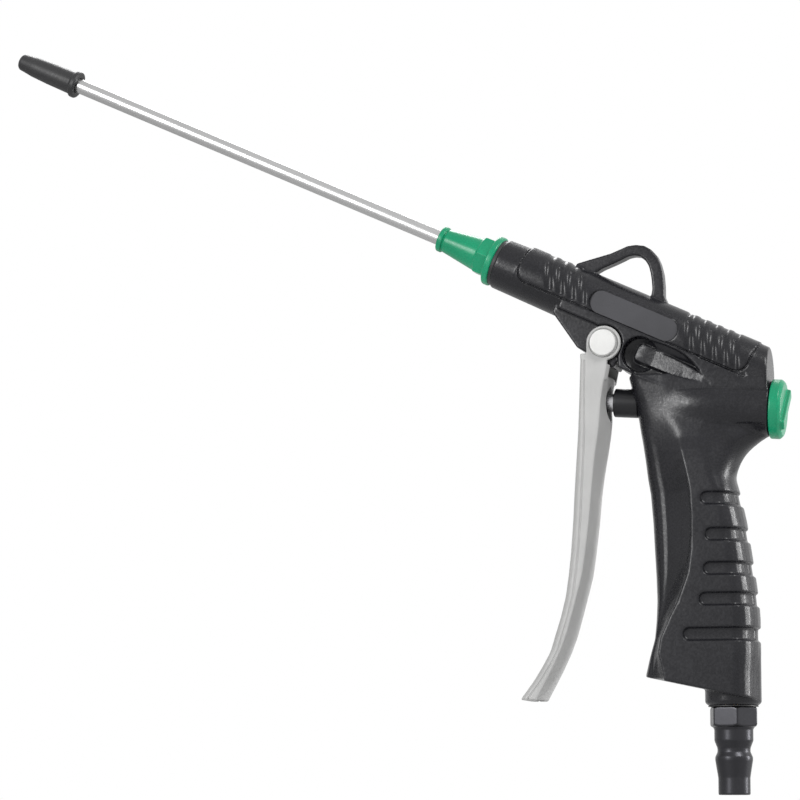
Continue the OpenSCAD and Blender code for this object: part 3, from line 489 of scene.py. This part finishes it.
def finger_grooves(field, side):
    for height, start in zip(GROOVE_HEIGHTS, GROOVE_STARTS):
        groove = np.sqrt(np.minimum(field.x - start, 0) ** 2 + (field.z - height) ** 2) - GROOVE_R
        depth = GROOVE_DEPTH * smooth_step(-groove, -0.1, 0.8) * smooth_step(side, 2, 4)
        field.value += depth.astype(np.float32)


def cowl_edge(field):
    """The cowl's edge as a fine line, with the cowl's corners rounded."""
    ahead, above = barrel_places(field)
    cowl = rounded_box(ahead, above, COWL_LOW, COWL_HIGH, 4.0)
    corner = np.maximum(UNDER_COWL_R - field.radius(BARREL, AHEAD), -cowl)
    corner = np.maximum(corner, rounded_box(ahead, above, (-8.3, -3.6), (75.2, 0.6), 0.2))
    field.cut(np.maximum(corner, 26 - np.abs(ahead - 33.5)))
    field.engrave(np.abs(cowl + 0.1) - 0.22, 0.45)


def body_shape():
    cell = 0.3
    field = node_field("body_housing", cell, 6 * cell)
    wide = node_field("body_housing", 2 * cell, 7.0)
    for f in (field, wide):
        for bore in BODY_BORES:
            f.add(f.rod(*bore))
    field.blur(0.26)

    wide.blur(1.5)
    soft = wide.values_for(field)
    weight = np.zeros((field.shape[0], 1, field.shape[2]), np.float32)
    for x, z, reach in BLENDS:
        far = np.sqrt((field.x - x) ** 2 + (field.z - z) ** 2) / reach
        weight = np.maximum(weight, 1 - smooth_step(far, 0.45, 1.0))
    field.value = field.value * (1 - weight) + soft * weight

    side = np.abs(field.y)
    crease(field, side)
    housing_dome(field, side)
    pocket_rib(field, side)
    crest(field)
    finger_grooves(field, side)
    cowl_edge(field)

    for bore in BODY_BORES:
        field.cut(field.rod(*bore))
    return field


stand_for(body_shape().mesh("duster_body", 0.35), "body_housing")


# Lever

# Half the lever's width, the height at which its front wall ends under the eyes, and the height of its tip
LEVER_HALF = 9.2
LEVER_WALL_TOP = PIVOT[2] - 4.5
LEVER_TIP_H = 30.4
# The wall that closes the back: half its width, its thickness, and how far it stays from the pin's middle
BACK_HALF = 9.0
BACK_THICK = 1.6
BACK_CLEAR = 10.6
# The slot for the guide's nose, and how far it goes down for the nose's places as the lever swings
SLOT_R = 4.9
SLOT_DROPS = (0, 0.6, 1.2)
# Half the lug's width with some room
LUG_CLEAR = 7.35


def edge_line(outline, places):
    """Where the silhouette begins at each height, coming along the places, smoothed a little."""
    first = np.argmax(outline < 0, axis=0)
    before = np.maximum(first - 1, 0)
    inside = np.take_along_axis(outline, first[None, :], 0)[0]
    outside = np.take_along_axis(outline, before[None, :], 0)[0]
    line = places[first] + (places[before] - places[first]) * inside / np.minimum(inside - outside, -1e-6)
    solid = np.nonzero(outline.min(axis=0) < 0)[0]
    line[:solid[0]], line[solid[-1]:] = line[solid[0]], line[solid[-1]]
    return across(evened(line, int(1.2 / abs(places[1] - places[0]))), 2)


def close_back(field, side, past):
    """A crowned wall closes the lever's back below the lug, with a slot for the guide's nose."""
    crown = 1.2 + 1.2 * smooth_step(field.z, 95, 112) * (1 - smooth_step(field.z, 120, 130))
    arch = crown * (1 - (side / LEVER_HALF) ** 2)
    back = past - arch
    from_pivot = field.radius(PIVOT, SIDEWAYS)
    wall = overlap(back, -BACK_THICK - back, side - BACK_HALF, LEVER_TIP_H + 0.2 - field.z,
                   BACK_CLEAR - from_pivot)
    for drop in SLOT_DROPS:
        wall = np.maximum(wall, SLOT_R - field.radius(VALVE - drop * UP, REARWARD))
    field.add(wall)

    # Beside the lug each cheek has a short slanting flange instead, which isn't arched
    flange = back + arch - 1.2 * np.clip((LEVER_HALF - side) / 1.8, 0, 1)
    field.add(overlap(flange, -3 - flange, LUG_CLEAR - side, side - LEVER_HALF,
                      from_pivot - 12, field.z - PIVOT[2] + 7))


def round_front(field, side, behind):
    """Rounds the front corners, more so towards the tip, and gives the radius at each height."""
    radius = 1.2 + 1.2 * (1 - smooth_step(field.z, 100, LEVER_WALL_TOP))
    edge = rounded_corner(side - (LEVER_HALF - radius), radius - behind, radius)
    edge = np.maximum(field.value, edge)
    fade = smooth_step(field.z, LEVER_WALL_TOP - 1.5, LEVER_WALL_TOP + 0.5)
    field.value = edge * (1 - fade) + field.value * fade
    return radius


def lever_shape():
    cell = 0.2
    field = node_field("lever", cell, 2.4)
    side = np.abs(field.y)
    outline, places = field.value.min(axis=1), field.x.ravel()
    behind = field.x - edge_line(outline, places)
    close_back(field, side, field.x - edge_line(outline[::-1], places[::-1]))
    radius = round_front(field, side, behind)
    field.blur(0.2)

    # A fine line behind the rounded corners, and one around each eye
    seam = np.abs(behind - radius - 0.3) - 0.22
    seam = np.where((field.z < LEVER_WALL_TOP - 1) & (side > 6), seam, 9).astype(np.float32)
    field.engrave(seam, 0.35)
    ring = np.abs(field.radius(PIVOT, SIDEWAYS) - 4.5) - 0.2
    field.engrave(np.maximum(ring, 8 - side), 0.3)
    field.cut(field.rod(PIVOT, SIDEWAYS, PIN_BORE_R, -11, 11))
    return field


stand_for(lever_shape().mesh("cast_lever", 0.6), "lever")


# Small pieces

def soft_edged(node, cell, blur, name, share=0.5, hole=None):
    """The node's own shape with softened edges, and its narrow hole cut anew."""
    cell = cell * 1
    field = node_field(node, cell, 5 * cell)
    field.blur(blur)
    if hole:
        field.cut(field.rod(*hole))
    stand_for(field.mesh(name, share), node)


soft_edged("nozzle_nut", 0.14, 0.15, "green_nut", 0.4, (BARREL_FRONT, AHEAD, TUBE_BORE_R, -12, 25))
soft_edged("rear_cap", 0.15, 0.2, "green_cap")
soft_edged("inlet_plug", 0.15, 0.2, "quick_plug")
soft_edged("nozzle_tip", 0.14, 0.2, "soft_tip", 0.5, (BARREL_FRONT, AHEAD, TUBE_BORE_R, 160, 179.5))
soft_edged("pivot_pin", 0.12, 0.14, "lever_pin")
soft_edged("stem_guide", 0.15, 0.18, "guide_nose")


# Room, light and camera, in metres

FLOOR_HALF = 3.0
FLOOR_H = -0.012
LAMPS_AIM = Vector((-0.03, 0, 0.12))
# The camera's turn around the object, its rise, its distance and the point it looks at
CAMERA_TURN = math.radians(14.5)
CAMERA_RISE = math.radians(-7.2)
CAMERA_FAR = 1.1
CAMERA_AIM = Vector((-109.903, 0, 130.085)) * MM
# The picture's width and the focal length in pixels, and the sensor's width as Blender has it
PHOTO_PIXELS = 800
FOCAL_PIXELS = 3322
SENSOR = 36


def link_object(name, data):
    obj = bpy.data.objects.new(name, data)
    scene.collection.objects.link(obj)
    return obj


def floor():
    mesh = bpy.data.meshes.new("floor")
    corners = [(x * FLOOR_HALF, y * FLOOR_HALF, FLOOR_H) for x, y in ((-1, -1), (1, -1), (1, 1), (-1, 1))]
    mesh.from_pydata(corners, [], [(0, 1, 2, 3)])
    obj = link_object("floor", mesh)
    paint = Paint("floor")
    grain = paint.noise(30 * MM, 3)
    paint.colour(paint.mix(paint.ramp(grain, 0.3, 0.7), (0.78, 0.78, 0.78), (0.82, 0.82, 0.82)))
    paint.bsdf.inputs["Roughness"].default_value = 0.9
    obj.data.materials.append(paint.material)


def world(strength):
    """White where the camera sees it, directly, mirrored or through something, and dimmer as a light."""
    w = bpy.data.worlds.new("studio")
    scene.world = w
    w.use_nodes = True
    tree = w.node_tree
    back = tree.nodes["Background"]
    back.inputs["Color"].default_value = (1, 1, 1, 1)
    path = tree.nodes.new("ShaderNodeLightPath")
    seen = path.outputs["Is Camera Ray"]
    for ray in ("Is Glossy Ray", "Is Transmission Ray"):
        either = tree.nodes.new("ShaderNodeMath")
        either.operation = "MAXIMUM"
        tree.links.new(seen, either.inputs[0])
        tree.links.new(path.outputs[ray], either.inputs[1])
        seen = either.outputs["Value"]
    level = tree.nodes.new("ShaderNodeMapRange")
    level.inputs["To Min"].default_value = strength
    level.inputs["To Max"].default_value = 1.0
    tree.links.new(seen, level.inputs["Value"])
    tree.links.new(level.outputs["Result"], back.inputs["Strength"])


def lamp(name, place, size, power):
    data = bpy.data.lights.new(name, "AREA")
    data.shape = "RECTANGLE"
    data.size, data.size_y = size
    data.energy = power
    obj = link_object(name, data)
    obj.location = place
    obj.rotation_euler = (LAMPS_AIM - Vector(place)).to_track_quat("-Z", "Y").to_euler()


def camera():
    level = math.cos(CAMERA_RISE)
    back = Vector((math.sin(CAMERA_TURN) * level, -math.cos(CAMERA_TURN) * level, math.sin(CAMERA_RISE)))
    right = Vector((math.cos(CAMERA_TURN), math.sin(CAMERA_TURN), 0))
    up = back.cross(right)
    data = bpy.data.cameras.new("camera")
    data.sensor_width = SENSOR
    data.lens = FOCAL_PIXELS * SENSOR / PHOTO_PIXELS
    data.clip_start = 0.01
    obj = link_object("camera", data)
    obj.matrix_world = Matrix((right, up, back)).transposed().to_4x4()
    obj.location = CAMERA_AIM + back * CAMERA_FAR
    scene.camera = obj


floor()
world(0.2)
lamp("key", (-0.62, -1.07, 0.38), (0.22, 0.5), 8)
lamp("fill", (0.60, -0.53, 1.00), (0.4, 0.4), 9)
lamp("side", (1.03, 0.38, 0.25), (0.2, 0.6), 9)
lamp("top", (-0.30, 0.70, 0.90), (0.4, 0.4), 4)
camera()

scene.view_settings.view_transform = "Standard"
